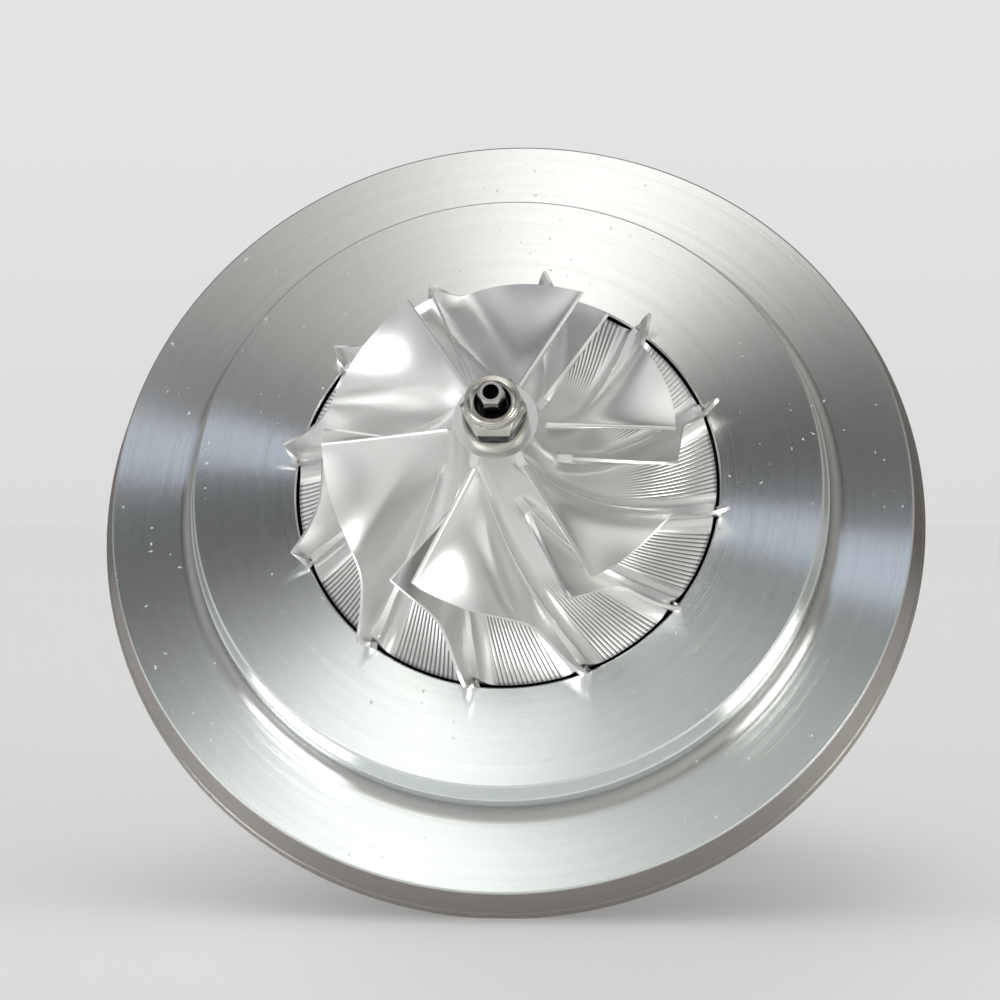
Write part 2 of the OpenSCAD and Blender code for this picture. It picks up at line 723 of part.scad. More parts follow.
module thrust_bearing_pins() {
    color([0.50, 0.50, 0.50]) laid() at_thrust_pins()
        rod(thrust_pin_r, thrust_seat_z - thrust_pin_deep, thrust_front_z);
}

module thrust_collar() {
    color([0.52, 0.52, 0.52]) laid() turned([
        [stub_r + slide_gap, shoulder_z], [collar_r - edge, shoulder_z],
        [collar_r, shoulder_z + edge], [collar_r, collar_face_z],
        [collar_sleeve_r, collar_face_z], [collar_sleeve_r, collar_front_z],
        [stub_r + slide_gap, collar_front_z]]);
}

module oil_flinger() {
    groove_r = flinger_r - seal_ring_deep;
    flange_z = collar_front_z + flinger_flange_t;
    color([0.52, 0.52, 0.52]) laid() turned([
        [stub_r + slide_gap, collar_front_z], [collar_r, collar_front_z],
        [collar_r, flange_z - edge], [collar_r - edge, flange_z], [flinger_r, flange_z],
        [flinger_r, seal_ring_z - side_gap], [groove_r, seal_ring_z - side_gap],
        [groove_r, seal_ring_z + seal_ring_t + side_gap],
        [flinger_r, seal_ring_z + seal_ring_t + side_gap],
        [flinger_r, hub_seat_z], [stub_r + slide_gap, hub_seat_z]]);
}

module oil_deflector() {
    deflector_lip_r = deflector_hole_r + 3;
    color([0.58, 0.58, 0.58]) laid() difference() {
        tube(deflector_hole_r, deflector_r, thrust_front_z, deflector_z);
        translate([-slot_w / 2, -deflector_r - past, thrust_front_z - past])
            cube([slot_w, deflector_r + past - deflector_lip_r, deflector_t + 2 * past]);
    }
}

module housing_seal_ring() {
    color([0.10, 0.10, 0.10]) laid() rotate_extrude()
        translate([seal_cord_at, seat_z - seal_cord_r]) circle(r = seal_cord_r - slide_gap, $fn = 32);
}

module plate_bolts() {
    head_z = washer_seat_z - washer_t;
    color([0.34, 0.34, 0.35]) laid() at_bolts() {
        mirror([0, 0, 1]) hex_bar(bolt_head_af, -head_z, bolt_head_h - head_z);
        rod(bolt_r, head_z, seat_z + bolt_deep - bolt_end_gap);
    }
}

module plate_bolt_washers() {
    color([0.48, 0.48, 0.48]) laid() at_bolts()
        tube(bolt_r + slide_gap, washer_r, washer_seat_z - washer_t, washer_seat_z);
}

module plate_dowel() {
    color([0.50, 0.50, 0.50]) laid() at_dowel()
        rod(dowel_r, seat_z - dowel_deep + edge, seat_z + dowel_deep - edge);
}

module turbine_locating_pin() {
    color([0.50, 0.50, 0.50]) laid() rotate(locating_pin_angle)
        translate([locating_pin_at, 0, 0])
            rod(locating_pin_r, band_rear_z - locating_pin_out, band_rear_z + band_t / 2);
}

back_plate();
bearing_housing();
housing_front_flange();
housing_turbine_flange();
housing_ribs();
oil_inlet_pad();
oil_drain_pad();
compressor_wheel();
shaft_nut();
rotor_shaft();
turbine_wheel();
heat_shield();
compressor_piston_ring();
turbine_piston_ring();
front_journal_bearing();
rear_journal_bearing();
bearing_retaining_rings();
thrust_bearing();
thrust_bearing_pins();
thrust_collar();
oil_flinger();
oil_deflector();
housing_seal_ring();
plate_bolts();
plate_bolt_washers();
plate_dowel();
turbine_locating_pin();
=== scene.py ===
"""Looks of the turbo cartridge around its CAD frame: finer wheels, plate and nut, finishes, light, camera."""

import math

import bpy
import numpy as np
from mathutils import Matrix, Vector


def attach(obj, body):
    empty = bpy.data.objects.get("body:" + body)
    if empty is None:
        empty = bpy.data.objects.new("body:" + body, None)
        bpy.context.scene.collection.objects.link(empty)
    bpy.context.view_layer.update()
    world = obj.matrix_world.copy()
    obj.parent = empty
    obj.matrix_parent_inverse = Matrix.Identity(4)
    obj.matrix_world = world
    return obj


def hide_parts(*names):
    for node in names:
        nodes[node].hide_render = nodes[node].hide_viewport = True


MM = 0.001

# View of the photo: distance and offsets in millimetres, angles of the rotor axis in degrees, clip in metres
VIEW_DISTANCE = 1200.0
VIEW_TILT = 21.99
VIEW_YAW = 4.14
VIEW_SHIFT = (2.61, 2.22)
VIEW_LENS = 184.9
VIEW_SENSOR = 36.0
VIEW_CLIP = (0.05, 50.0)

# Floor, in metres, its rise in degrees; it glows less in an ellipse round the cartridge's foot, a painted shadow,
# and more beyond it, a painted pool of light
FLOOR_RISE = 4.0
FLOOR_R = 1.2
FLOOR_BACK = 0.3
FLOOR_FADE = (0.55, 1.1)
FLOOR_COLOUR = (0.74, 0.74, 0.74, 1.0)
FLOOR_ROUGH = 0.9
FLOOR_GLOW = 0.182
FLOOR_PAINTED_LIGHT = 0.08
FOOT_SIDE = 0.025
FOOT_DEPTH = 0.35
FOOT_SHADOW_FADE = (0.03, 0.10)

# Back plate, radii and heights in millimetres along the rotor axis
FACE_R = 94.0
RIM_R = 96.6
RIM_T = 11.0
RIM_GROOVE_Z = -8.8
RIM_GROOVE_W = 0.8
SPIGOT_R = 74.4
SPIGOT_TOP_R = 73.2
SPIGOT_H = 13.6
SPIGOT_LAND = 4.0
COVE_R = 3.7
LIP = 0.35
RECESS_R = 49.02
RECESS_Z = 9.0
SEAL_BORE_R = 9.6
SOCKET_R = 62.05
SOCKET_LIP_R = 66.5
SEAT_Z = -6.0
RELIEF_R = 84.0
RELIEF_Z = -5.0
RELIEF_DRAFT = 5.0
LIP_DRAFT = 1.0
DEFLECTOR_R = 25.5
DEFLECTOR_Z = -9.0
POCKET_R = 12.6
POCKET_Z = -6.44
EDGE = 0.5
PLATE_SHARP = 12.0

# Compressor wheel
BLADES = 6
WHEEL_ANGLE = 2.4
WHEEL_GAP = 0.9
TIP_R = 52.3
DISC_R = 48.3
INDUCER_R = 40.0
NOSE_R = 9.5
BACK_Z = 9.9
DISC_FRONT_Z = 12.8
NOSE_Z = 53.9
INLET_Z = 44.5
HUB_FOOT_R = 9.3
HUB_FOOT_H = 2.0
OUTLET_ROOT_R = 48.75
OUTLET_ROOT_Z = 14.5
OUTLET_TIP_Z = 20.7
BLADE_WRAP = 49.0
BLADE_LEAN = 2.5
BLADE_RIM = 0.92
BLADE_ROOT_T = 1.9
BLADE_TIP_T = 0.8
BLADE_SINK = 1.8
BLADE_RIM_SINK = 0.8
ROOT_START = 0.05
ROOT_TURN = 1.8
TIP_EVEN = 0.3
TIP_QUICK = 0.184
TIP_EASE = 1.75
SPLITTER_START = 0.16
SPLITTER_ROOT_START = 0.24
FILLET_NOSE_R = 1.4
FILLET_EDGE_R = 4.2
FILLET_BEGIN = 0.06
FILLET_CLEAR = 4.0

# Blades of both wheels: crowding of rows towards the leading edge, its length in tip thicknesses, and how soon
# a flared root falls off
ROW_CROWDING = 1.3
NOSE_ROUND = 1.2
FLARE_FALL = 0.55

# Shaft nut: hexagon between a round collar at its foot and a round crown; the cuts are the radii to which its
# corners are turned at the foot of the flats, the shoulder and the crown
NUT_FLAT_R = 6.5
NUT_COLLAR_R = 7.4
NUT_CROWN_R = 6.3
NUT_BORE_R = 4.05
NUT_TOP_Z = NOSE_Z + 11.5
NUT_COLLAR_Z = NOSE_Z + 1.5
NUT_FLAT_Z = NOSE_Z + 2.2
NUT_SHOULDER_Z = NUT_TOP_Z - 3.4
NUT_CROWN_Z = NUT_TOP_Z - 2.2
NUT_CUTS = (7.1, 7.6, 6.4)
NUT_ROUND = 0.8
NUT_DISH = 0.5
NUT_BORE_EDGE = 0.3

# Turbine wheel
TURBINE_BLADES = 11
TURBINE_BACK_Z = -95.5
TURBINE_END_Z = -130.5
TURBINE_TIP_R = 44.5
TURBINE_OUTLET_R = 38.0
TURBINE_INLET_W = 13.0
TURBINE_DISC_R = 34.5
TURBINE_DISC_T = 4.0
TURBINE_NOSE_R = 11.0
TURBINE_WRAP = 38.0
TURBINE_EASE = 2.4
TURBINE_THROAT = 0.7
TURBINE_ROOT_T = 3.2
TURBINE_TIP_T = 1.3
TURBINE_SINK = 0.8
TURBINE_FLARE = 1.6
TURBINE_FLARE_SINK = 1.2
TURBINE_HEX_R = 7.7
TURBINE_HEX_L = 7.0
TURBINE_HEX_CHAMFER = 1.6

# Axis end of turned outlines, in millimetres
AXIS_R = 0.01

# Finish of the plate: grooves and bands by radius, a tint less red towards the bottom, and zones as (none, full)
# limits
TURNING_SCALE = 24.0
BAND_SCALE = 0.5
BAND_DEPTH = 0.06
COOL_HEIGHTS = (25.0, -25.0)
COOL_RED = 0.955
# Rim wall and rear edge: rougher, with a brownish tone darkened by painted shade
RIM_HEIGHTS = (-0.2, -0.6)
RIM_RADII = (FACE_R - 1.5, FACE_R - 0.5)
RIM_LEAN = 0.4
RIM_ROUGH = 0.16
RIM_TONE_AND_SHADE = (0.40, 0.375, 0.35, 1.0)
# Painted shade in the cove at the foot of the spigot
COVE_SHADE_RADII = (SPIGOT_R + COVE_R + 0.4, SPIGOT_R + 2.0)
COVE_SHADE_HEIGHTS = (COVE_R + 0.6, COVE_R - 0.8)
COVE_SHADE_COLOUR = (0.52, 0.52, 0.51, 1.0)
# Painted shade, near black, in the recess behind the wheel, on the disc's edge, on the nut and in the shaft's end
SHADED_GAP_RADII = (RECESS_R + 0.15, RECESS_R + 0.05)
PAINTED_SHADE = (0.03, 0.03, 0.03, 1.0)

# Nicks on the plate: cells moved by a wobble, some of them picked, in patches
FLECK_WOBBLE_SCALE = 1.1
FLECK_WOBBLE = (1.6, 1.6, 1.6)
FLECK_SCALE = 0.42
FLECK_PICK = (0.4, 1.0)
FLECK_SIZE = 0.17
FLECK_EDGE = 0.03
FLECK_PATCH_SCALE = 0.03
FLECK_PATCH = (0.40, 0.52)
FLECK_ROUGH = 0.45

# Finish of the wheel: milling ridges near the outlet with painted shade in their grooves, and painted shade on
# the edge of the disc
RIDGE_PITCH = 360 / 276
RIDGE_H = 0.15
RIDGE_RADII = (24.0, 34.0)
RIDGE_FOOT = (0.1, 0.8)
RIDGE_SHADE = 0.85
# Painted shade in the grooves between the ridges
GROOVE_SHADE_COLOUR = (0.10, 0.105, 0.105, 1.0)
# Painted shade on the disc's edge beside the recess
SHADED_DISC_EDGE_HEIGHTS = (DISC_FRONT_Z + 0.1, DISC_FRONT_Z - 0.1)
SHADED_DISC_EDGE_RADII = (DISC_R - 1.0, DISC_R - 0.2)

# Other finishes
TONE_DEPTH = 0.3
RUBBER_DEPTH = 0.4
ROUGH_DEPTH = 0.15
# Painted shade on the nut and shaft: softness of its dark bands, and radii of the dark hole at the shaft's end
SHADE_SOFTNESS = 0.5
SHADED_HOLE_RADII = (1.95, 1.75)

# Directions of the two lamps that light the step and the wheel, z along the rotor axis, and the angles at which
# their patches are full and gone; the glare is added where their light is mirrored twice, as beside the step
LAMPS = [(-0.595, -0.253, 0.76), (0.644, -0.127, 0.75)]
LAMP_PATCH = (3.0, 13.0)
LAMP_LIGHT = 1.6
LAMP_GLARE = 7.0

# Fans of light seen in the turned plate: angle round the rotor axis, tightness and colour. The zone is where they
# begin and are full, in degrees from the nose, and the widths are where a streak begins and is full
FAN_ZONE = (26, 18)
NEAR_ZERO = 0.0001
FAN_BASE = (0.069, 0.069, 0.068)
FANS = [(77.8, 2.8, (1.16, 1.16, 1.14)), (127.5, 4.8, (0.34, 0.34, 0.33)),
        (250.7, 2.5, (1.235, 1.235, 1.21)), (314.2, 2.5, (0.35, 0.35, 0.34))]
STREAK_ANGLES = [170.5, 350.5]
STREAK_WIDTHS = (6.5, 4.0)
STREAK_COLOUR = (0.45, 0.50, 0.60)

# Light of the tent: its level all round, what each side adds, and the cosines at which that is none and full
ROOM_LEFT = (1.12, 1.12, 1.12, 1.0)
ROOM_RIGHT = (0.95, 0.935, 0.895, 1.0)
ROOM_SIDES = (-0.3, 0.5)
ROOM_LEVEL = 0.18
FRONT_LEVEL = 0.20
FRONT_FADE = (-0.6, 0.2)
BESIDE_LEVEL = 0.12
BESIDE_FADE = (0.3, 0.9)
BESIDE_FRONT_FADE = (-0.5, 0.15)
TOP_LEVEL = 0.45
TOP_DIFFUSE = 0.5
TOP_FADE = (0.6, 0.9)
TOP_FRONT_FADE = (-0.6, 0.0)
BEHIND_LEVEL = 0.50
BEHIND_FADE = (-0.90, -0.98)
BACKDROP_TOP = (0.77, 0.77, 0.77, 1.0)
BACKDROP_FOOT = (0.715, 0.715, 0.715, 1.0)
BACKDROP_FADE = (-0.01, 0.08)


# Meshes

def row(points):
    """Points with z along the rotor axis, in millimetres, as row points in metres."""
    points = np.asarray(points, float)
    return np.stack([points[..., 0], -points[..., 2], points[..., 1]], -1) * MM


def grid_faces(rows, columns):
    """Quads of a grid of rows by columns, closed across its columns."""
    i, j = np.meshgrid(np.arange(rows - 1), np.arange(columns), indexing="ij")
    k = (j + 1) % columns
    quads = np.stack([i * columns + j, i * columns + k, (i + 1) * columns + k, (i + 1) * columns + j], -1)
    return quads.reshape(-1, 4)


def make_object(name, parts, sharp=35.0):
    """One smooth-shaded object from (points, faces, uv) parts, with edges over the sharp angle kept crisp."""
    points, faces, coords = [], [], []
    for part_points, part_faces, part_uv in parts:
        faces.append(part_faces + sum(len(p) for p in points))
        points.append(part_points)
        coords.append(part_uv)
    points, faces, coords = np.concatenate(points), np.concatenate(faces), np.concatenate(coords)
    mesh = bpy.data.meshes.new(name)
    mesh.from_pydata(points.tolist(), [], faces.tolist())
    layer = mesh.uv_layers.new(name="flow")
    corners = np.zeros(len(mesh.loops), np.int32)
    mesh.loops.foreach_get("vertex_index", corners)
    layer.data.foreach_set("uv", coords[corners].astype(np.float32).ravel())
    mesh.validate()
    mesh.shade_smooth()
    mesh.set_sharp_from_angle(angle=math.radians(sharp))
    made = bpy.data.objects.new(name, mesh)
    bpy.context.scene.collection.objects.link(made)
    return made


def ring_grid(radius, height, angle, uv):
    """A grid closed round the rotor axis, from radii, heights and angles in degrees by row and column."""
    turn = np.radians(angle)
    points = np.stack([radius * np.cos(turn), radius * np.sin(turn), height], -1)
    return row(points.reshape(-1, 3)), grid_faces(*radius.shape), uv.reshape(-1, 2)


def lathe(profile, segments):
    """A surface of revolution from (radius, height) points."""
    profile = np.asarray(profile, float)
    angle = np.repeat(np.arange(segments)[None, :] / segments * 360, len(profile), 0)
    radius = np.repeat(profile[:, :1], segments, 1)
    height = np.repeat(profile[:, 1:], segments, 1)
    return ring_grid(radius, height, angle, np.zeros((*radius.shape, 2)))


def arc(centre, radius, start, end, steps):
    """(radius, height) points along an arc, angles in degrees."""
    angles = np.radians(np.linspace(start, end, steps))
    return [(centre[0] + radius * math.cos(a), centre[1] + radius * math.sin(a)) for a in angles]


# Blades

def root_bend(s):
    """How far along its turn a compressor blade's root is."""
    return ROOT_TURN * s + (1 - ROOT_TURN) * s * s


def tip_bend(s):
    """How far along its turn a compressor blade's tip is: quick behind the inlet, then slow and even."""
    return TIP_EVEN * s + (1 - TIP_EVEN) * (1 - np.exp(-(s / TIP_QUICK) ** TIP_EASE))


def hub_point(u):
    """Radius and height of the compressor hub, nose to edge."""
    a = np.radians(90 * np.asarray(u))
    return np.stack([DISC_R - (DISC_R - NOSE_R) * np.cos(a),
                     NOSE_Z - (NOSE_Z - DISC_FRONT_Z) * np.sin(a)], -1)


def blade_root(s):
    """Radius, height and angle of a compressor blade's root, a little inside the hub."""
    u = ROOT_START + (1 - ROOT_START) * np.minimum(1, s / BLADE_RIM)
    over = np.maximum(0, (s - BLADE_RIM) / (1 - BLADE_RIM))
    a = np.radians(90 * u)
    sink = BLADE_SINK + (BLADE_RIM_SINK - BLADE_SINK) * u
    at = hub_point(u) - sink[:, None] * np.stack([np.cos(a), np.sin(a)], -1)
    at = at * (1 - over[:, None]) + np.array([OUTLET_ROOT_R, OUTLET_ROOT_Z]) * over[:, None]
    return np.column_stack([at, (BLADE_WRAP + BLADE_LEAN) * root_bend(s)])


def blade_tip(s):
    """Radius, height and angle of a compressor blade's tip."""
    a = np.radians(90 * s)
    return np.column_stack([TIP_R - (TIP_R - INDUCER_R) * np.cos(a),
                            INLET_Z - (INLET_Z - OUTLET_TIP_Z) * np.sin(a), BLADE_WRAP * tip_bend(s)])


def splitter_root(s):
    """Radius, height and angle of a splitter blade's root."""
    return blade_root(SPLITTER_ROOT_START + (1 - SPLITTER_ROOT_START) * s)


def splitter_tip(s):
    """Radius, height and angle of a splitter blade's tip."""
    return blade_tip(SPLITTER_START + (1 - SPLITTER_START) * s)


def turbine_hub_point(u):
    """Radius and height of the turbine hub, disc to nose."""
    a = np.radians(90 * np.asarray(u))
    return np.stack([TURBINE_NOSE_R + (TURBINE_DISC_R - TURBINE_NOSE_R) * (1 - np.sin(a)),
                     TURBINE_END_Z + (TURBINE_BACK_Z - TURBINE_DISC_T - TURBINE_END_Z) * np.cos(a)], -1)


def turbine_root(s):
    """Radius, height and angle of a turbine blade's root, a little inside the hub."""
    at = turbine_hub_point(s)
    inward = TURBINE_SINK + TURBINE_SINK * np.sin(np.radians(90 * s))
    return np.column_stack([at[:, 0] - inward, at[:, 1], TURBINE_WRAP * s ** TURBINE_EASE])


def turbine_tip(s):
    """Radius, height and angle of a turbine blade's tip."""
    fall = np.sin(np.radians(90 * np.minimum(1, s / TURBINE_THROAT)))
    length = TURBINE_BACK_Z - TURBINE_END_Z - TURBINE_INLET_W
    height = TURBINE_BACK_Z - TURBINE_INLET_W - length * (1 - np.cos(np.radians(90 * s)))
    return np.column_stack([TURBINE_TIP_R - (TURBINE_TIP_R - TURBINE_OUTLET_R) * fall, height,
                            TURBINE_WRAP * s ** TURBINE_EASE])


def blade(root, tip, root_t, tip_t, turn, along, across, flare=0.0, sink=0.0):
    """One twisted blade as a closed grid: round its leading edge, square at its tip, flared at its root."""
    s = np.linspace(0, 1, along) ** ROW_CROWDING
    t = np.linspace(0, 1, across)
    low, high = root(s), tip(s)
    p = low[:, None, :] * (1 - t[None, :, None]) + high[:, None, :] * t[None, :, None]
    angle = np.radians(p[..., 2] + turn)
    middle = np.stack([p[..., 0] * np.cos(angle), p[..., 0] * np.sin(angle), p[..., 1]], -1)
    normal = np.cross(np.gradient(middle, axis=0), np.gradient(middle, axis=1))
    normal /= np.linalg.norm(normal, axis=-1, keepdims=True)
    half = np.repeat((root_t + (tip_t - root_t) * t)[None, :] / 2, along, 0)
    if flare:
        height = np.linalg.norm(middle[:, -1] - middle[:, 0], axis=-1)
        above = np.maximum(0, t[None, :] * height[:, None] - sink)
        half = half + flare * np.exp(-above / (FLARE_FALL * flare))
    run = np.concatenate([[0], np.cumsum(np.linalg.norm(np.diff(middle[:, -1], axis=0), axis=-1))])
    nose = np.clip(run / (NOSE_ROUND * tip_t), 0, 1)
    half = half * np.sqrt(1 - (1 - nose) ** 2)[:, None]
    one, two = middle - half[..., None] * normal, middle + half[..., None] * normal
    loop = np.concatenate([one, two[:, ::-1]], 1)
    shut = np.concatenate([middle[-1:], middle[-1:, ::-1]], 1)
    loop = np.concatenate([loop, shut], 0)
    faces = grid_faces(len(loop), 2 * across)
    return row(loop.reshape(-1, 3)), faces, np.zeros((loop[..., 0].size, 2))


# Replaced pieces

def wheel_hub(rows=110, columns=900):
    """Hub and back disc of the compressor wheel, its columns turned with the blades and raised into fillets
    beside them. The u coordinate follows the blades in degrees, the v coordinate is 1 clear of the fillets."""
    u = np.linspace(0, 1, rows)
    profile = hub_point(u)
    s = BLADE_RIM * np.clip((u - ROOT_START) / (1 - ROOT_START), 0, 1)
    turn = (BLADE_WRAP + BLADE_LEAN) * root_bend(s)
    run = np.concatenate([[0], np.cumsum(np.linalg.norm(np.diff(profile, axis=0), axis=-1))])
    slant = np.arctan(profile[:, 0] * np.gradient(np.radians(turn), run))

    base = np.arange(columns) / columns * 360
    pitch = 180 / BLADES
    nearest = np.round(base / pitch)
    off = np.radians(np.abs(base - nearest * pitch))
    starts = np.where(nearest % 2 == 0, 0.0, SPLITTER_ROOT_START / BLADE_RIM)
    begun = np.clip((u[:, None] - starts[None, :]) / FILLET_BEGIN, 0, 1)
    gap = (profile[:, 0] * np.cos(slant))[:, None] * off[None, :] - BLADE_ROOT_T / 2
    fillet = (FILLET_NOSE_R + (FILLET_EDGE_R - FILLET_NOSE_R) * u)[:, None]
    inside = fillet - np.clip(gap, 0, fillet)
    lift = begun * (fillet - np.sqrt(fillet ** 2 - inside ** 2))

    a = np.radians(90 * u)[:, None]
    radius = profile[:, :1] + lift * np.cos(a)
    height = profile[:, 1:] + lift * np.sin(a)
    clear = np.clip(1 - FILLET_CLEAR * begun * inside / fillet, 0, 1)
    rear = np.array([(DISC_R, BACK_Z + 2 * EDGE), (DISC_R - EDGE, BACK_Z + EDGE),
                     (HUB_FOOT_R + WHEEL_GAP, BACK_Z), (HUB_FOOT_R, BACK_Z - WHEEL_GAP / 2),
                     (HUB_FOOT_R, BACK_Z - HUB_FOOT_H), (AXIS_R, BACK_Z - HUB_FOOT_H)])
    radius = np.concatenate([np.full((1, columns), AXIS_R), radius, np.repeat(rear[:, :1], columns, 1)])
    height = np.concatenate([np.full((1, columns), NOSE_Z), height, np.repeat(rear[:, 1:], columns, 1)])
    turn = np.concatenate([turn[:1], turn, np.full(len(rear), turn[-1])])
    clear = np.concatenate([np.zeros((1, columns)), clear, np.zeros((len(rear), columns))])
    angle = WHEEL_ANGLE + base[None, :] + turn[:, None]
    return ring_grid(radius, height, angle, np.stack([np.repeat(base[None, :], len(turn), 0), clear], -1))


def compressor_wheel():
    """Hub with full and splitter blades."""
    parts = [wheel_hub()]
    pitch = 360 / BLADES
    for i in range(BLADES):
        turn = WHEEL_ANGLE + pitch * i
        parts.append(blade(blade_root, blade_tip, BLADE_ROOT_T, BLADE_TIP_T, turn, along=72, across=22))
        parts.append(blade(splitter_root, splitter_tip, BLADE_ROOT_T, BLADE_TIP_T, turn + pitch / 2,
                           along=54, across=22))
    return make_object("milled_wheel", parts)


def shaft_nut(columns=180):
    """Hexagon nut with its collar, crown and bore."""
    angle = np.arange(columns) / columns * 360
    hexagon = NUT_FLAT_R / np.cos(np.radians(angle % 60 - 30))
    foot = [(NUT_BORE_R, NOSE_Z), (NUT_COLLAR_R, NOSE_Z), (NUT_COLLAR_R, NUT_COLLAR_Z),
            (NUT_FLAT_R, NUT_FLAT_Z)]
    flats = list(zip(NUT_CUTS, (NUT_FLAT_Z, NUT_SHOULDER_Z, NUT_CROWN_Z)))
    crown = [(NUT_CROWN_R, NUT_CROWN_Z)]
    crown += arc((NUT_CROWN_R - NUT_ROUND, NUT_TOP_Z - NUT_ROUND), NUT_ROUND, 0, 90, steps=6)
    crown += [(NUT_BORE_R + NUT_BORE_EDGE, NUT_TOP_Z - NUT_DISH),
              (NUT_BORE_R, NUT_TOP_Z - NUT_DISH - NUT_BORE_EDGE), (NUT_BORE_R, NOSE_Z)]
    profile = np.array(foot + flats + crown)
    radius = np.repeat(profile[:, :1], columns, 1)
    sided = slice(len(foot), len(foot) + len(flats))
    radius[sided] = np.minimum(radius[sided], hexagon)
    height = np.repeat(profile[:, 1:], columns, 1)
    angle = np.repeat(angle[None, :], len(profile), 0)
    return make_object("crowned_nut", [ring_grid(radius, height, angle, np.zeros((*radius.shape, 2)))])


def turbine_wheel():
    """Cast turbine wheel with its nose hexagon."""
    hub = [(AXIS_R, TURBINE_BACK_Z), (TURBINE_DISC_R - EDGE, TURBINE_BACK_Z),
           (TURBINE_DISC_R, TURBINE_BACK_Z - EDGE)]
    hub += [tuple(p) for p in turbine_hub_point(np.linspace(0, 1, 40))]
    hub += [(TURBINE_NOSE_R - EDGE, TURBINE_END_Z - EDGE), (AXIS_R, TURBINE_END_Z - EDGE)]
    parts = [lathe(hub, segments=180)]
    for i in range(TURBINE_BLADES):
        turn = 360 / TURBINE_BLADES * i
        parts.append(blade(turbine_root, turbine_tip, TURBINE_ROOT_T, TURBINE_TIP_T, turn, along=40, across=16,
                           flare=TURBINE_FLARE, sink=TURBINE_FLARE_SINK))
    corner = TURBINE_HEX_R / math.cos(math.radians(30))
    hex_end = TURBINE_END_Z - TURBINE_HEX_L
    hexagon = [(corner, TURBINE_END_Z), (corner, hex_end + TURBINE_HEX_CHAMFER),
               (corner - TURBINE_HEX_CHAMFER, hex_end), (AXIS_R, hex_end)]
    parts.append(lathe(hexagon, segments=6))
    return make_object("cast_turbine", parts)


def back_plate():
    """The turned plate, with the joint face, cove, spigot and rear socket of the CAD piece."""
    slope = (RIM_R - FACE_R) / (RIM_T - 2 * EDGE)

    def rim_at(z):
        """Radius of the tapered rim at a height."""
        return FACE_R + slope * (-EDGE - z)

    front = [(SEAL_BORE_R, RECESS_Z), (RECESS_R, RECESS_Z), (RECESS_R, SPIGOT_H - EDGE),
             (RECESS_R + EDGE, SPIGOT_H), (SPIGOT_TOP_R - EDGE, SPIGOT_H), (SPIGOT_TOP_R, SPIGOT_H - EDGE),
             (SPIGOT_R - LIP, COVE_R + SPIGOT_LAND + LIP / 2), (SPIGOT_R, COVE_R + SPIGOT_LAND - LIP / 2)]
    front += arc((SPIGOT_R + COVE_R, COVE_R), COVE_R, 180, 270, steps=13)
    front += [(FACE_R - EDGE, 0), (FACE_R, -EDGE)]
    rim = [(FACE_R, -EDGE), (rim_at(RIM_GROOVE_Z + RIM_GROOVE_W), RIM_GROOVE_Z + RIM_GROOVE_W),
           (rim_at(RIM_GROOVE_Z) - EDGE, RIM_GROOVE_Z + RIM_GROOVE_W / 2), (rim_at(RIM_GROOVE_Z), RIM_GROOVE_Z),
           (RIM_R, EDGE - RIM_T), (RIM_R - EDGE, -RIM_T)]
    rear = [(RIM_R - EDGE, -RIM_T), (RELIEF_R, -RIM_T), (RELIEF_R - RELIEF_DRAFT, RELIEF_Z),
            (SOCKET_LIP_R + LIP_DRAFT, RELIEF_Z), (SOCKET_LIP_R, -RIM_T), (SOCKET_R + EDGE, -RIM_T),
            (SOCKET_R, EDGE - RIM_T), (SOCKET_R, SEAT_Z), (DEFLECTOR_R, SEAT_Z), (DEFLECTOR_R, DEFLECTOR_Z),
            (POCKET_R, DEFLECTOR_Z), (POCKET_R, POCKET_Z), (SEAL_BORE_R, POCKET_Z), (SEAL_BORE_R, RECESS_Z)]
    parts = [lathe(part[::-1], segments=512) for part in (front, rim, rear)]
    return make_object("turned_plate", parts, PLATE_SHARP)


# Shader nodes

def feed(tree, target, key, value):
    """Sets one input of a node to a value or a socket."""
    if isinstance(value, bpy.types.NodeSocket):
        tree.links.new(value, target.inputs[key])
    else:
        target.inputs[key].default_value = value


def node(tree, kind, inputs=None, **options):
    """A shader node with its options, and inputs given as values or sockets."""
    made = tree.nodes.new(kind)
    for key, value in options.items():
        setattr(made, key, value)
    for key, value in (inputs or {}).items():
        feed(tree, made, key, value)
    return made


def connect(tree, shader, **inputs):
    """Sets the named inputs of a shader to values or sockets."""
    for key, value in inputs.items():
        feed(tree, shader, key.replace("_", " "), value)


def calc(tree, operation, *values):
    """Output of a math node."""
    return node(tree, "ShaderNodeMath", dict(enumerate(values)), operation=operation).outputs[0]


def vector(tree, operation, *values):
    """Vector output of a vector math node."""
    return node(tree, "ShaderNodeVectorMath", dict(enumerate(values)), operation=operation).outputs["Vector"]


def measure(tree, operation, *values):
    """Number output of a vector math node."""
    return node(tree, "ShaderNodeVectorMath", dict(enumerate(values)), operation=operation).outputs["Value"]


def scaled(tree, value, factor):
    """A vector or colour times a number."""
    return node(tree, "ShaderNodeVectorMath", {0: value, "Scale": factor}, operation="SCALE").outputs["Vector"]


def dot(tree, value, axis):
    """Dot product of a vector socket and a fixed axis."""
    return measure(tree, "DOT_PRODUCT", value, tuple(axis))


def ramp(tree, value, low, high):
    """Smooth step of a value from 0 at low to 1 at high."""
    made = node(tree, "ShaderNodeMapRange", {"Value": value, "From Min": low, "From Max": high},
                interpolation_type="SMOOTHSTEP")
    return made.outputs["Result"]


def mix(tree, factor, first, second):
    """Mix of two colours."""
    made = node(tree, "ShaderNodeMix", {0: factor, 6: first, 7: second}, data_type="RGBA")
    return made.outputs[2]


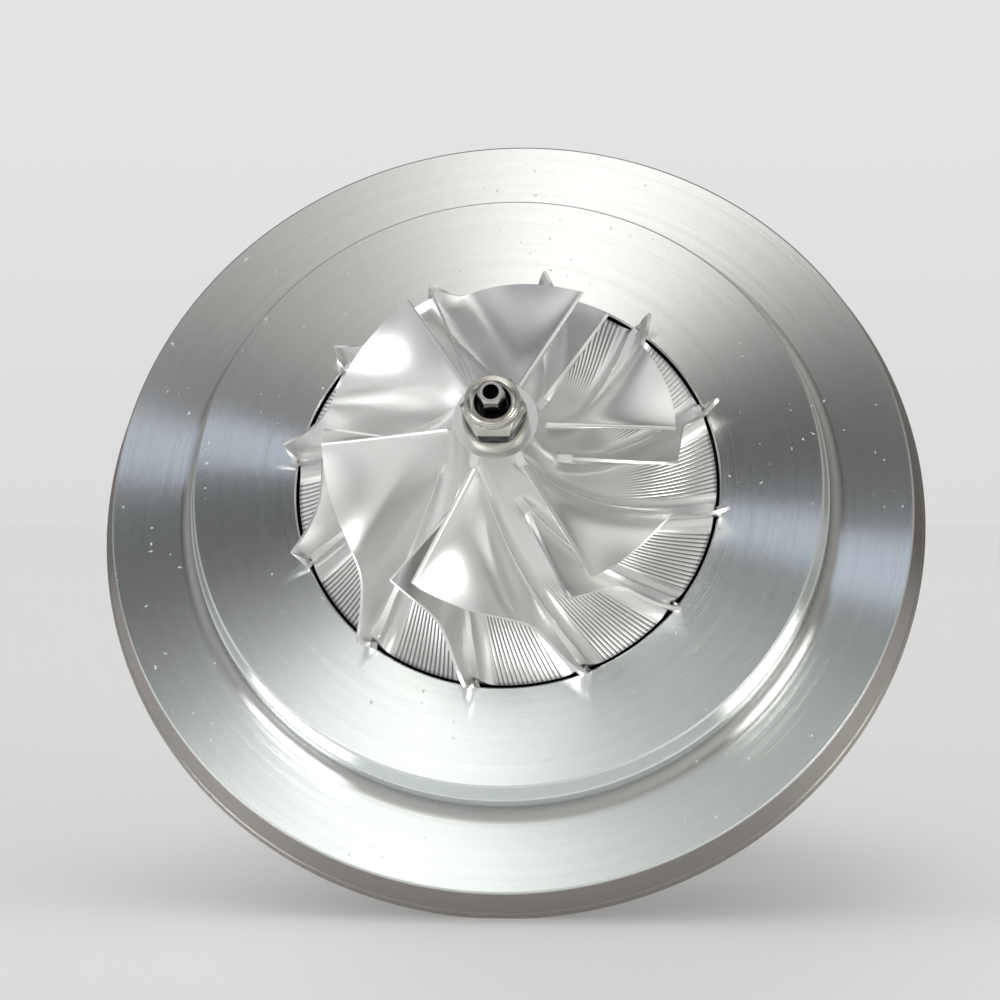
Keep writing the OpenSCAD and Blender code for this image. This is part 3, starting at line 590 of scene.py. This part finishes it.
def noise(tree, at, scale, detail, output="Fac"):
    """Output of a noise texture."""
    made = node(tree, "ShaderNodeTexNoise", {"Vector": at, "Scale": scale, "Detail": detail})
    return made.outputs[output]


def bands(tree, value, scale, detail):
    """Noise along one value."""
    made = node(tree, "ShaderNodeTexNoise", {"W": value, "Scale": scale, "Detail": detail},
                noise_dimensions="1D")
    return made.outputs["Fac"]


def toned(tree, colour, shade, depth):
    """A colour made darker and lighter by a shade from 0 to 1."""
    return scaled(tree, colour, calc(tree, "MULTIPLY_ADD", shade, depth, 1 - depth / 2))


def new_material(name):
    """An empty material, its tree and its Principled shader."""
    made = bpy.data.materials.new(name)
    made.use_nodes = True
    return made, made.node_tree, made.node_tree.nodes["Principled BSDF"]


def position(tree):
    """Object position in millimetres."""
    return scaled(tree, node(tree, "ShaderNodeTexCoord").outputs["Object"], 1 / MM)


def about_axis(tree, at):
    """Height of a position along the rotor axis, and its distance from the axis."""
    x, y, z = node(tree, "ShaderNodeSeparateXYZ", {0: at}).outputs
    square = calc(tree, "ADD", calc(tree, "MULTIPLY", x, x), calc(tree, "MULTIPLY", z, z))
    return calc(tree, "MULTIPLY", y, -1.0), calc(tree, "SQRT", square)


# Finishes

def flecks(tree, at):
    """Small scattered nicks, 1 on a nick."""
    wobble = noise(tree, at, FLECK_WOBBLE_SCALE, detail=2.0, output="Color")
    where = vector(tree, "MULTIPLY_ADD", wobble, FLECK_WOBBLE, at)
    cell = node(tree, "ShaderNodeTexVoronoi", {"Vector": where, "Scale": FLECK_SCALE}).outputs
    pick = node(tree, "ShaderNodeSeparateXYZ", {0: cell["Color"]}).outputs[0]
    size = calc(tree, "MULTIPLY", ramp(tree, pick, *FLECK_PICK), FLECK_SIZE)
    near = calc(tree, "SUBTRACT", size, cell["Distance"])
    patch = ramp(tree, noise(tree, at, FLECK_PATCH_SCALE, detail=1.0), *FLECK_PATCH)
    return calc(tree, "MULTIPLY", ramp(tree, near, 0.0, FLECK_EDGE), patch)


def turned_metal(name, colour, roughness, spread):
    """Turned metal: grooves round the rotor axis spread light outwards; the rim's wall is rougher, brownish, with
    painted shade.
    """
    made, tree, shader = new_material(name)
    at = position(tree)
    height, radius = about_axis(tree, at)
    tangent = node(tree, "ShaderNodeTangent", direction_type="RADIAL", axis="Y").outputs[0]
    normal = node(tree, "ShaderNodeNewGeometry").outputs["Normal"]
    outward = vector(tree, "CROSS_PRODUCT", normal, tangent)
    groove = bands(tree, calc(tree, "SUBTRACT", radius, height), TURNING_SCALE, detail=1.0)
    rim = calc(tree, "MULTIPLY", ramp(tree, height, *RIM_HEIGHTS), ramp(tree, radius, *RIM_RADII))
    lean = calc(tree, "MULTIPLY_ADD", groove, 2 * spread, -spread)
    lean = calc(tree, "MULTIPLY", lean, calc(tree, "MULTIPLY_ADD", rim, RIM_LEAN, 1.0))
    tilted = vector(tree, "ADD", normal, scaled(tree, outward, lean))
    tilted = vector(tree, "NORMALIZE", tilted)

    cool = ramp(tree, dot(tree, at, (0, 0, 1)), *COOL_HEIGHTS)
    tint = mix(tree, cool, (*colour, 1.0), (colour[0] * COOL_RED, colour[1], colour[2], 1.0))
    tint = toned(tree, tint, bands(tree, radius, BAND_SCALE, detail=4.0), BAND_DEPTH)
    # Painted shade in the cove
    cove = calc(tree, "MULTIPLY", ramp(tree, radius, *COVE_SHADE_RADII), ramp(tree, height, *COVE_SHADE_HEIGHTS))
    tint = mix(tree, cove, tint, COVE_SHADE_COLOUR)
    # Rim wall: brownish tone with painted shade
    tint = mix(tree, rim, tint, RIM_TONE_AND_SHADE)
    # Painted shade: the recess behind the wheel is near black
    tint = mix(tree, ramp(tree, radius, *SHADED_GAP_RADII), tint, PAINTED_SHADE)
    fleck = flecks(tree, at)
    rough = calc(tree, "MULTIPLY_ADD", rim, RIM_ROUGH, roughness)
    rough = calc(tree, "MULTIPLY_ADD", fleck, FLECK_ROUGH, rough)
    grain = calc(tree, "SUBTRACT", 1.0, fleck)
    connect(tree, shader, Base_Color=tint, Metallic=1.0, Roughness=rough, Anisotropic=grain,
            Anisotropic_Rotation=0.25, Normal=tilted, Tangent=tangent)
    return made


def milled_metal(name, colour, roughness):
    """Milled metal of the wheel's hub and blades: ridges near the outlet follow the blades; painted shade in
    grooves and at the disc's edge.
    """
    made, tree, shader = new_material(name)
    height, radius = about_axis(tree, position(tree))
    uv = node(tree, "ShaderNodeUVMap", uv_map="flow").outputs[0]
    flow = node(tree, "ShaderNodeSeparateXYZ", {0: uv}).outputs
    turn = calc(tree, "FRACT", calc(tree, "DIVIDE", flow[0], RIDGE_PITCH))
    scallop = calc(tree, "POWER", calc(tree, "ABSOLUTE", calc(tree, "MULTIPLY_ADD", turn, 2.0, -1.0)), 2.0)
    near = calc(tree, "MULTIPLY", ramp(tree, radius, *RIDGE_RADII), flow[1])
    ridges = calc(tree, "MULTIPLY", scallop, near)
    bump = node(tree, "ShaderNodeBump", {"Height": ridges, "Strength": 1.0, "Distance": RIDGE_H * MM})
    # Painted shade in the grooves between the ridges
    groove = calc(tree, "MULTIPLY", ramp(tree, scallop, *RIDGE_FOOT), calc(tree, "MULTIPLY", near, RIDGE_SHADE))
    # Painted shade on the disc's edge beside the recess
    edge = calc(tree, "MULTIPLY", ramp(tree, height, *SHADED_DISC_EDGE_HEIGHTS), ramp(tree, radius, *SHADED_DISC_EDGE_RADII))
    tint = mix(tree, groove, (*colour, 1.0), GROOVE_SHADE_COLOUR)
    tint = mix(tree, edge, tint, PAINTED_SHADE)
    connect(tree, shader, Base_Color=tint, Metallic=1.0, Roughness=roughness, Normal=bump.outputs[0])
    return made


def end_steel(name, colour, roughness, low, high):
    """Ground steel, with painted shade between two heights along the rotor axis and in the hole at the shaft's
    end.
    """
    made, tree, shader = new_material(name)
    at = position(tree)
    height, radius = about_axis(tree, at)
    # Painted shade between the two heights and in the hole
    under = ramp(tree, height, high + SHADE_SOFTNESS, high - SHADE_SOFTNESS)
    over = ramp(tree, height, low - SHADE_SOFTNESS, low + SHADE_SOFTNESS)
    dark = calc(tree, "MAXIMUM", calc(tree, "MULTIPLY", under, over), ramp(tree, radius, *SHADED_HOLE_RADII))
    tint = toned(tree, colour, noise(tree, at, scale=0.8, detail=3.0), TONE_DEPTH)
    connect(tree, shader, Base_Color=mix(tree, dark, tint, PAINTED_SHADE), Metallic=1.0, Roughness=roughness)
    return made


def plain_metal(name, colour, roughness, grain=0.0, grain_scale=0.5):
    """Metal with an even finish and, if grain is above 0, a rough cast skin."""
    made, tree, shader = new_material(name)
    shade = noise(tree, position(tree), grain_scale, detail=4.0)
    rough = calc(tree, "MULTIPLY_ADD", shade, ROUGH_DEPTH, roughness - ROUGH_DEPTH / 2)
    connect(tree, shader, Base_Color=toned(tree, colour, shade, TONE_DEPTH), Metallic=1.0, Roughness=rough)
    if grain:
        bump = node(tree, "ShaderNodeBump", {"Height": shade, "Strength": 1.0, "Distance": grain * MM})
        connect(tree, shader, Normal=bump.outputs[0])
    return made


def matt(name, colour, roughness):
    """A plain dielectric, such as rubber."""
    made, tree, shader = new_material(name)
    tint = toned(tree, colour, noise(tree, position(tree), scale=1.5, detail=3.0), RUBBER_DEPTH)
    connect(tree, shader, Base_Color=tint, Roughness=roughness)
    return made


def give(target, material):
    """Puts one material on an object."""
    target.data.materials.clear()
    target.data.materials.append(material)


# Camera, floor and light

def photo_axes():
    """The row frame's right, up and nose directions as the photo's camera sees them (x right, y down)."""
    tilt, yaw = math.radians(VIEW_TILT), math.radians(VIEW_YAW)
    nose = Vector((-math.sin(yaw) * math.cos(tilt), -math.sin(tilt), -math.cos(tilt) * math.cos(yaw)))
    up = Vector((0, -1, 0))
    up = (up - nose * up.dot(nose)).normalized()
    return up.cross(nose), up, nose


def from_photo(offset):
    """A direction or offset in the photo's camera axes (x right, y down, z forward), in the row frame."""
    right, up, nose = photo_axes()
    offset = Vector(offset)
    return Vector((offset.dot(right), -offset.dot(nose), offset.dot(up)))


RIGHT = from_photo((1, 0, 0))
UP = from_photo((0, -1, 0))
FORWARD = from_photo((0, 0, 1))
TO_CAMERA = from_photo((0, 0, -1))


def make_camera():
    """The camera of the photo."""
    data = bpy.data.cameras.new("photo_camera")
    data.sensor_width = VIEW_SENSOR
    data.lens = VIEW_LENS
    data.clip_start, data.clip_end = VIEW_CLIP
    data.dof.use_dof = False
    made = bpy.data.objects.new("photo_camera", data)
    bpy.context.scene.collection.objects.link(made)
    turn = Matrix((RIGHT, UP, TO_CAMERA)).transposed().to_4x4()
    stand = from_photo((-VIEW_SHIFT[0], -VIEW_SHIFT[1], -VIEW_DISTANCE)) * MM
    made.matrix_world = Matrix.Translation(stand) @ turn
    bpy.context.scene.camera = made


def make_floor():
    """A pale floor under the rim, fading out at its border and from below."""
    rise = math.radians(FLOOR_RISE)
    normal = from_photo((0, -math.cos(rise), -math.sin(rise))).normalized()
    side = math.hypot(normal.x, normal.z)
    depth = (RIM_R - EDGE / 2) * side + (RIM_T - EDGE / 2) * -normal.y
    bpy.ops.mesh.primitive_circle_add(vertices=128, radius=FLOOR_R, fill_type="NGON")
    floor = bpy.context.object
    floor.name = "floor"
    floor.rotation_mode = "QUATERNION"
    floor.rotation_quaternion = normal.to_track_quat("Z", "Y")
    floor.location = -normal * depth * MM
    bpy.context.view_layer.update()
    to_floor = floor.matrix_world.to_3x3().inverted()

    made, tree, shader = new_material("pale_floor")
    at = node(tree, "ShaderNodeTexCoord").outputs["Object"]
    across = calc(tree, "SUBTRACT", dot(tree, at, to_floor @ RIGHT), FOOT_SIDE)
    inward = calc(tree, "MULTIPLY", dot(tree, at, to_floor @ FORWARD), FOOT_DEPTH)
    from_foot = node(tree, "ShaderNodeCombineXYZ", {0: across, 1: inward}).outputs[0]
    from_foot = measure(tree, "LENGTH", from_foot)
    # Painted shadow round the foot: the glow is lower in an ellipse there and higher beyond it, a painted pool of
    # light
    level = calc(tree, "MULTIPLY_ADD", ramp(tree, from_foot, *FOOT_SHADOW_FADE), FLOOR_PAINTED_LIGHT, FLOOR_GLOW)
    away = measure(tree, "DISTANCE", at, tuple(to_floor @ FORWARD * FLOOR_BACK))
    below = node(tree, "ShaderNodeNewGeometry").outputs["Backfacing"]
    gone = calc(tree, "MAXIMUM", ramp(tree, away, *FLOOR_FADE), below)
    connect(tree, shader, Base_Color=FLOOR_COLOUR, Roughness=FLOOR_ROUGH, Specular_IOR_Level=0.0,
            Emission_Color=(1.0, 1.0, 1.0, 1.0), Emission_Strength=level,
            Alpha=calc(tree, "SUBTRACT", 1.0, gone))
    give(floor, made)


def around(angle):
    """A direction in the plate's plane, at an angle in degrees round the rotor axis."""
    turn = math.radians(angle)
    return Vector((math.cos(turn), 0, math.sin(turn)))


def lobe(tree, half, rest, axis, power):
    """A soft fan of light about an axis in the plate's plane, 1 along the axis and 0 from square to it."""
    along = calc(tree, "MAXIMUM", dot(tree, half, axis), 0.0)
    square = calc(tree, "DIVIDE", calc(tree, "MULTIPLY", along, along), rest)
    return calc(tree, "POWER", square, power)


def glow(tree, ray, axis, inner, outer):
    """A round patch of light about an axis, 1 within the inner angle and 0 past the outer one, in degrees."""
    return ramp(tree, dot(tree, ray, axis), math.cos(math.radians(outer)), math.cos(math.radians(inner)))


def fan_light(tree, half, facing):
    """Light mirrored by the turned plate, by the direction halfway between a ray and the photo's camera."""
    rest = calc(tree, "SUBTRACT", 1.0, calc(tree, "MULTIPLY", facing, facing))
    rest = calc(tree, "MAXIMUM", rest, NEAR_ZERO)
    total = FAN_BASE
    for angle, power, colour in FANS:
        total = vector(tree, "MULTIPLY_ADD", colour, lobe(tree, half, rest, around(angle), power), total)
    outer, inner = (math.cos(math.radians(width)) ** 2 for width in STREAK_WIDTHS)
    for angle in STREAK_ANGLES:
        streak = ramp(tree, lobe(tree, half, rest, around(angle), 1.0), outer, inner)
        total = vector(tree, "MULTIPLY_ADD", STREAK_COLOUR, streak, total)
    return total


def room_light(tree, ray, path):
    """Light of the tent all round, stronger in front, beside, above and straight behind, with its two lamps."""
    towards, sideways, rise = dot(tree, ray, TO_CAMERA), dot(tree, ray, RIGHT), dot(tree, ray, UP)
    beside = calc(tree, "MULTIPLY", ramp(tree, calc(tree, "ABSOLUTE", sideways), *BESIDE_FADE),
                  ramp(tree, towards, *BESIDE_FRONT_FADE))
    above = calc(tree, "MULTIPLY", ramp(tree, rise, *TOP_FADE), ramp(tree, towards, *TOP_FRONT_FADE))
    from_top = calc(tree, "MULTIPLY_ADD", path["Is Diffuse Ray"], TOP_DIFFUSE, TOP_LEVEL)
    level = calc(tree, "MULTIPLY_ADD", ramp(tree, towards, *FRONT_FADE), FRONT_LEVEL, ROOM_LEVEL)
    level = calc(tree, "MULTIPLY_ADD", beside, BESIDE_LEVEL, level)
    level = calc(tree, "MULTIPLY_ADD", above, from_top, level)
    level = calc(tree, "MULTIPLY_ADD", ramp(tree, towards, *BEHIND_FADE), BEHIND_LEVEL, level)
    mirrored_twice = calc(tree, "GREATER_THAN", path["Ray Depth"], 1.5)
    lamp_level = calc(tree, "MULTIPLY_ADD", mirrored_twice, LAMP_GLARE, LAMP_LIGHT)
    for x, y, z in LAMPS:
        axis = Vector((x, -z, y)).normalized()
        level = calc(tree, "MULTIPLY_ADD", glow(tree, ray, axis, *LAMP_PATCH), lamp_level, level)
    return scaled(tree, mix(tree, ramp(tree, sideways, *ROOM_SIDES), ROOM_LEFT, ROOM_RIGHT), level)


def make_world():
    """Light of a white photo tent, set by where the turned plate in the photo is bright and dark."""
    world = bpy.data.worlds.new("tent")
    bpy.context.scene.world = world
    world.use_nodes = True
    tree = world.node_tree
    tree.nodes.clear()
    path = node(tree, "ShaderNodeLightPath").outputs
    ray = node(tree, "ShaderNodeTexCoord").outputs["Generated"]
    half = vector(tree, "NORMALIZE", vector(tree, "ADD", ray, tuple(TO_CAMERA)))
    facing = dot(tree, half, (0, -1, 0))
    in_fan = ramp(tree, facing, *(math.cos(math.radians(angle)) for angle in FAN_ZONE))
    shade = mix(tree, in_fan, room_light(tree, ray, path), fan_light(tree, half, facing))
    backdrop = mix(tree, ramp(tree, dot(tree, ray, UP), *BACKDROP_FADE), BACKDROP_FOOT, BACKDROP_TOP)
    shade = mix(tree, path["Is Camera Ray"], shade, backdrop)
    background = node(tree, "ShaderNodeBackground", {"Color": shade, "Strength": 1.0})
    node(tree, "ShaderNodeOutputWorld", {"Surface": background.outputs[0]})


# Scene

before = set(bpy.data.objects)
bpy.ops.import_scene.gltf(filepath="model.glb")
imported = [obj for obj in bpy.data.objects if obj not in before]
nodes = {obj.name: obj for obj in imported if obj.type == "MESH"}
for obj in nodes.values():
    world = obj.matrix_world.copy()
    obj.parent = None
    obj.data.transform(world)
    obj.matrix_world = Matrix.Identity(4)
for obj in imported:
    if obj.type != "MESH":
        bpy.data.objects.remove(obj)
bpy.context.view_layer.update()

plate = back_plate()
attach(plate, "housing")
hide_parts("back_plate")
wheel = compressor_wheel()
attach(wheel, "rotor")
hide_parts("compressor_wheel")
nut = shaft_nut()
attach(nut, "rotor")
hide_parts("shaft_nut")
turbine = turbine_wheel()
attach(turbine, "rotor")
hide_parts("turbine_wheel")

give(plate, turned_metal("turned_aluminium", (0.91, 0.91, 0.895), roughness=0.14, spread=0.45))
give(wheel, milled_metal("milled_aluminium", (0.90, 0.90, 0.89), roughness=0.30))
# Painted shade on the lower half of the nut's flats
give(nut, end_steel("nut_steel", (0.66, 0.65, 0.59), roughness=0.18, low=NOSE_Z + 2.0, high=NOSE_Z + 6.0))
give(turbine, plain_metal("turbine_alloy", (0.52, 0.48, 0.44), roughness=0.42, grain=0.15, grain_scale=0.8))
steel = plain_metal("ground_steel", (0.62, 0.61, 0.58), roughness=0.22)
iron = plain_metal("cast_iron", (0.36, 0.345, 0.33), roughness=0.52, grain=0.35, grain_scale=0.6)
shield = plain_metal("shield_steel", (0.60, 0.54, 0.46), roughness=0.33, grain=0.05, grain_scale=0.1)
bronze = plain_metal("bearing_bronze", (0.75, 0.53, 0.26), roughness=0.30)
dark = plain_metal("black_oxide", (0.10, 0.10, 0.11), roughness=0.40)
rubber = matt("seal_rubber", (0.02, 0.02, 0.02), roughness=0.60)
# Painted shade in the nut's mouth round the shaft's end
shaft = end_steel("shaft_steel", (0.62, 0.60, 0.60), roughness=0.16, low=61.0, high=65.2)
finishes = {
    "bearing_housing": iron, "housing_front_flange": iron, "housing_turbine_flange": iron, "housing_ribs": iron,
    "oil_inlet_pad": iron, "oil_drain_pad": iron, "heat_shield": shield, "rotor_shaft": shaft,
    "front_journal_bearing": bronze, "rear_journal_bearing": bronze, "thrust_bearing": bronze,
    "housing_seal_ring": rubber, "plate_bolts": dark, "bearing_retaining_rings": dark,
}
for name, piece in nodes.items():
    if not piece.hide_render:
        give(piece, finishes.get(name, steel))

make_camera()
make_floor()
make_world()
view_settings = bpy.context.scene.view_settings
view_settings.view_transform = "Standard"
view_settings.look = "None"
